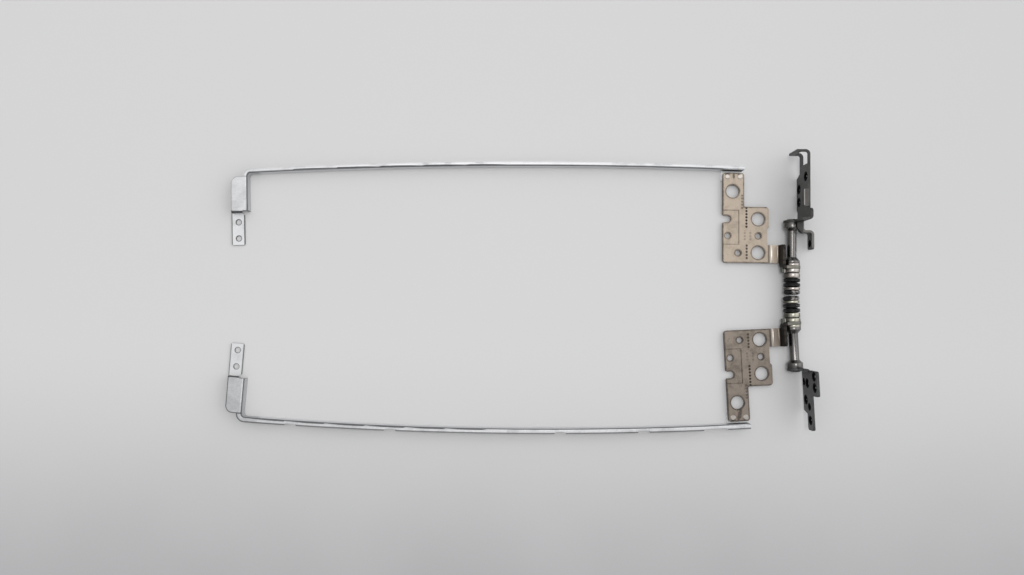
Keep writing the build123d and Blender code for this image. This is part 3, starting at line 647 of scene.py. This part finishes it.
def turned_paint(finish, name, side, steel, rough, grease=0.0, rub=0.0, flank_shading=0.0, tangs=True):
    """Turned steel: lathe rings along the pivot, faint scratches, grease, painted highlight spots on upward
    faces and painted shade on the sides.
    """
    paint = Paint(name)
    place = hinge_place(paint, side)
    x, y, _ = paint.split(place)
    facing_x, _, facing_z = hinge_facing(paint, side)
    ring = paint.noise(paint.node("CombineXYZ", None, {1: y}), 9.0, 3.0, 0.7)
    cloud = paint.noise(place, 0.8, 3.0, 0.6)
    scuff = paint.noise(paint.vector("MULTIPLY", place, (1.0, 4.0, 1.0)), 1.6, 4.0, 0.65)
    # Painted highlight spots on upward faces, used on the nuts
    glint_spot = paint.noise(place, 0.55, 2.0, 0.5).smooth(0.47, 0.60) * facing_z.smooth(0.6, 0.9)
    tang = x.smooth(-WASHER_RADIUS + 0.1, -WASHER_RADIUS - 0.3) * (1.0 if tangs else 0.0)
    # Painted shade on the sides of the washers, mixed with the grease
    flank_shade = facing_x.math("ABSOLUTE").smooth(0.40, 0.90)
    grease_and_shade = (cloud.smooth(0.45, 0.75) * grease).both(flank_shade * flank_shading)
    tone = paint.mix(steel, shade(steel, 0.62), (ring * 0.5 + scuff * 0.5).smooth(0.35, 0.75))
    tone = paint.mix(tone, finish.bare_steel, glint_spot * rub)
    return paint.surface(
        Base_Color=paint.mix(paint.mix(tone, finish.grease, grease_and_shade), finish.ear, tang),
        Metallic=1.0,
        Roughness=rough + (ring - 0.5) * 0.16 + (scuff - 0.5) * 0.14 + tang * 0.3,
        Normal=paint.bump(ring * 0.7 + scuff * 0.3, 0.02, 0.5),
    )


def spring_paint(finish, side):
    """Black disc springs: dull oxide with faintly rubbed rims."""
    paint = Paint(side + "_spring")
    place = hinge_place(paint, side)
    x, _, z = paint.split(place)
    radius = distance(x, z, 0.0, AXIS_HEIGHT)
    scuff = paint.noise(place, 2.2, 4.0, 0.65)
    rim = radius.smooth(WASHER_RADIUS - 0.2, WASHER_RADIUS + 0.1) * scuff.smooth(0.35, 0.7)
    return paint.surface(
        Base_Color=paint.mix(finish.spring, finish.bare_steel, rim * 0.02),
        Roughness=0.24 + scuff * 0.2,
        Specular_IOR_Level=0.2,
        Normal=paint.bump(scuff, 0.02, 0.5),
    )


def dress(piece, material, edge):
    """Give a piece its finish and eased edges; its own mesh stays as it is."""
    for slot in piece.material_slots:
        slot.material = material
    weld = piece.modifiers.new("Joined seams", "WELD")
    weld.merge_threshold = WELD_GAP * MM
    ease = piece.modifiers.new("Eased edges", "BEVEL")
    ease.width = edge
    ease.segments = EASE_SEGMENTS
    ease.limit_method = "ANGLE"
    ease.angle_limit = math.radians(EASE_ANGLE)
    ease.harden_normals = True


class HINGE_OT_rails(Operator):
    """Finish the two display rails"""

    bl_idname = "hinge.rails"
    bl_label = "Display Rails"

    def execute(self, context):
        edge = context.scene.hinge_sizes.rail_edge
        for side in SIDES:
            dress(frame["nodes"][side + "_rail"], zinc_paint(context.scene.hinge_finish, side), edge)
        return {"FINISHED"}


class HINGE_OT_lid_plates(Operator):
    """Finish the two lid plates and the rivets in them"""

    bl_idname = "hinge.lid_plates"
    bl_label = "Lid Plates"

    def execute(self, context):
        finish = context.scene.hinge_finish
        sizes = context.scene.hinge_sizes
        for side in SIDES:
            dress(frame["nodes"][side + "_lid_plate"], nickel_paint(finish, side), sizes.sheet_edge)
            head = own(finish, side, "rivet")
            rivets = turned_paint(finish, side + "_rivet", side, head, rough=0.40, grease=0.12, tangs=False)
            dress(frame["nodes"][side + "_rail_rivets"], rivets, sizes.turned_edge)
        return {"FINISHED"}


def ear_flap(material):
    """Short flap folded from the right bracket's ear over the head of the shaft."""
    rows, start = hinge_frame("right")
    shape = bmesh.new()
    corners = [shape.verts.new((x, y, EAR_FLAP_Z)) for x, y in EAR_FLAP_OUTLINE]
    sheet = shape.faces.new(corners)
    raised = bmesh.ops.extrude_face_region(shape, geom=[sheet])["geom"]
    lifted = [part for part in raised if isinstance(part, bmesh.types.BMVert)]
    bmesh.ops.translate(shape, verts=lifted, vec=(0, 0, EAR_FLAP_SHEET))
    upright = [edge for edge in shape.edges if edge.verts[0].co.xy == edge.verts[1].co.xy]
    bmesh.ops.bevel(shape, geom=upright, offset=EAR_FLAP_CORNER, segments=4, affect="EDGES", profile=0.5)
    bmesh.ops.recalc_face_normals(shape, faces=shape.faces)
    turn = Matrix(rows).transposed().to_4x4()
    shape.transform(Matrix.Translation(start) @ turn @ Matrix.Scale(MM, 4))
    mesh = bpy.data.meshes.new("right_ear_flap")
    shape.to_mesh(mesh)
    shape.free()
    mesh.materials.append(material)
    flap = bpy.data.objects.new("right_ear_flap", mesh)
    bpy.context.scene.collection.objects.link(flap)
    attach(flap, "right_base_side")
    return flap


class HINGE_OT_base_brackets(Operator):
    """Finish the two base brackets and fold the flap of the right one"""

    bl_idname = "hinge.base_brackets"
    bl_label = "Base Brackets"

    def execute(self, context):
        edge = context.scene.hinge_sizes.sheet_edge
        for side in SIDES:
            oxide = oxide_paint(context.scene.hinge_finish, side)
            dress(frame["nodes"][side + "_base_bracket"], oxide, edge)
            if side == "right":
                dress(ear_flap(oxide), oxide, edge)
        return {"FINISHED"}


class HINGE_OT_shafts(Operator):
    """Finish the shafts and lock nuts"""

    bl_idname = "hinge.shafts"
    bl_label = "Shafts and Nuts"

    def execute(self, context):
        finish = context.scene.hinge_finish
        edge = context.scene.hinge_sizes.turned_edge
        for side in SIDES:
            bar = turned_paint(finish, side + "_shaft", side, finish.shaft, rough=0.26, grease=0.25)
            dress(frame["nodes"][side + "_shaft"], bar, edge)
            nut = turned_paint(finish, side + "_nut", side, finish.nut, rough=0.22, grease=0.2, rub=0.6)
            dress(frame["nodes"][side + "_lock_nut"], nut, edge)
        return {"FINISHED"}


class HINGE_OT_stacks(Operator):
    """Finish the washers and disc springs of the friction stacks"""

    bl_idname = "hinge.stacks"
    bl_label = "Friction Stacks"

    def execute(self, context):
        finish = context.scene.hinge_finish
        edge = context.scene.hinge_sizes.turned_edge
        for side in SIDES:
            steel = own(finish, side, "washer")
            bright = turned_paint(finish, side + "_washer", side, steel, rough=0.32, grease=0.35, flank_shading=0.9)
            for kind in ("thrust_washer", "tang_washer", "cam_washer", "pressure_washer"):
                dress(frame["nodes"][f"{side}_{kind}"], bright, edge)
            rubbed = turned_paint(finish, side + "_friction", side, finish.nut, rough=0.3, grease=0.6)
            dress(frame["nodes"][side + "_friction_disc"], rubbed, edge)
            black = spring_paint(finish, side)
            for node in sorted(frame["nodes"]):
                if node.startswith(side + "_disc_spring"):
                    dress(frame["nodes"][node], black, edge)
        return {"FINISHED"}


def floor_paint(stage):
    """Pale table top with a faint cloud, falling into shade toward the viewer."""
    paint = Paint("table_top")
    here = paint.node("TexCoord", None, None, 3)
    x, y, _ = paint.split(here)
    cloud = paint.noise(here, 9.0, 3.0, 0.5).smooth(0.35, 0.65)
    base = paint.mix(stage.floor, stage.floor_near, y.smooth(*FLOOR_SHADE))
    base = paint.mix(base, shade(stage.floor, 0.97), cloud * 0.15)
    # Painted shade, slightly darker toward the right
    base = paint.mix(base, shade(stage.floor, 0.5), x.smooth(*FLOOR_SIDE) * 0.06)
    return paint.surface(Base_Color=base, Roughness=0.62, Specular_IOR_Level=0.25)


def area_light(name, place, width, power):
    """Soft round light aimed at the middle of the table."""
    lamp = bpy.data.lights.new(name, "AREA")
    lamp.shape = "DISK"
    lamp.size = width
    lamp.energy = power
    lamp.color = LAMP_TINT
    holder = bpy.data.objects.new(name, lamp)
    holder.location = place
    holder.rotation_euler = (-Vector(place)).to_track_quat("-Z", "Y").to_euler()
    holder.visible_camera = False
    bpy.context.scene.collection.objects.link(holder)


def surround(stage):
    """Pale surround, brightest overhead and on the right, dimmer on the viewer's side."""
    world = bpy.context.scene.world or bpy.data.worlds.new("Surround")
    bpy.context.scene.world = world
    world.use_nodes = True
    sky = Tree(world.node_tree)
    x, y, z = sky.split(sky.node("TexCoord", None, None, 0))
    level = stage.sky_low + z.smooth(*SKY_RISE) * (stage.sky_top - stage.sky_low)
    level = level + x.smooth(*SKY_TO_RIGHT) * z.smooth(*SKY_EDGE) * stage.sky_right
    level = level * (stage.sky_near + y.smooth(*SKY_TO_BACK) * (1.0 - stage.sky_near))
    back = world.node_tree.nodes["Background"]
    sky.feed(back.inputs["Color"], stage.sky)
    sky.feed(back.inputs["Strength"], level)


class HINGE_OT_stage(Operator):
    """Set the pale table, the soft light and the camera"""

    bl_idname = "hinge.stage"
    bl_label = "Stage"

    def execute(self, context):
        stage = context.scene.hinge_stage
        mesh = bpy.data.meshes.new("table_top")
        h = FLOOR_HALF
        mesh.from_pydata([(-h, -h, 0), (h, -h, 0), (h, h, 0), (-h, h, 0)], [], [(0, 1, 2, 3)])
        mesh.materials.append(floor_paint(stage))
        floor = bpy.data.objects.new("table_top", mesh)
        context.scene.collection.objects.link(floor)
        surround(stage)
        area_light("overhead", LAMP_PLACE, LAMP_WIDTH, stage.overhead)

        camera = bpy.data.cameras.new("camera")
        camera.lens = stage.lens
        camera.sensor_width = CAMERA_SENSOR
        camera.clip_start = CAMERA_NEAR
        holder = bpy.data.objects.new("camera", camera)
        right = Vector((math.cos(stage.roll), math.sin(stage.roll), 0))
        ahead = Vector((-math.sin(stage.roll), math.cos(stage.roll), 0))
        down = Vector((0, 0, -1))
        look = down * math.cos(stage.tilt) + ahead * math.sin(stage.tilt)
        up = ahead * math.cos(stage.tilt) - down * math.sin(stage.tilt)
        turn = Matrix((right, up, -look)).transposed().to_4x4()
        origin = hinge_frame("right")[1]
        place = origin + Vector((*CAMERA_PLACE, 0)) * MM
        place.z = stage.camera_height
        holder.matrix_world = Matrix.Translation(place) @ turn
        context.scene.collection.objects.link(holder)
        context.scene.camera = holder
        context.scene.view_settings.view_transform = "Standard"
        return {"FINISHED"}


OPERATORS = (
    HINGE_OT_rails, HINGE_OT_lid_plates, HINGE_OT_base_brackets, HINGE_OT_shafts, HINGE_OT_stacks,
    HINGE_OT_stage,
)
GROUPS = {"hinge_finish": HingeFinish, "hinge_sizes": HingeSizes, "hinge_stage": HingeStage}


class HINGE_PT_sidebar(Panel):
    """Sidebar panel of the hinge pair"""

    bl_idname = "HINGE_PT_sidebar"
    bl_label = "Hinge Pair"
    bl_space_type = "VIEW_3D"
    bl_region_type = "UI"
    bl_category = "Hinge Pair"

    def draw(self, context):
        for operator in OPERATORS:
            self.layout.operator(operator.bl_idname)
        for group in GROUPS:
            settings = getattr(context.scene, group)
            for key in settings.__annotations__:
                self.layout.prop(settings, key)


def register():
    """Register the classes and hang the settings on the scene."""
    for made in (*GROUPS.values(), *OPERATORS, HINGE_PT_sidebar):
        bpy.utils.register_class(made)
    for name, group in GROUPS.items():
        setattr(bpy.types.Scene, name, PointerProperty(type=group))


def unregister():
    """Take the settings and classes away again."""
    for name in GROUPS:
        delattr(bpy.types.Scene, name)
    for made in (HINGE_PT_sidebar, *reversed(OPERATORS), *reversed(list(GROUPS.values()))):
        bpy.utils.unregister_class(made)


def main():
    """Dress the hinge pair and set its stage."""
    register()
    bpy.ops.hinge.rails()
    bpy.ops.hinge.lid_plates()
    bpy.ops.hinge.base_brackets()
    bpy.ops.hinge.shafts()
    bpy.ops.hinge.stacks()
    bpy.ops.hinge.stage()


if __name__ == "__main__":
    main()
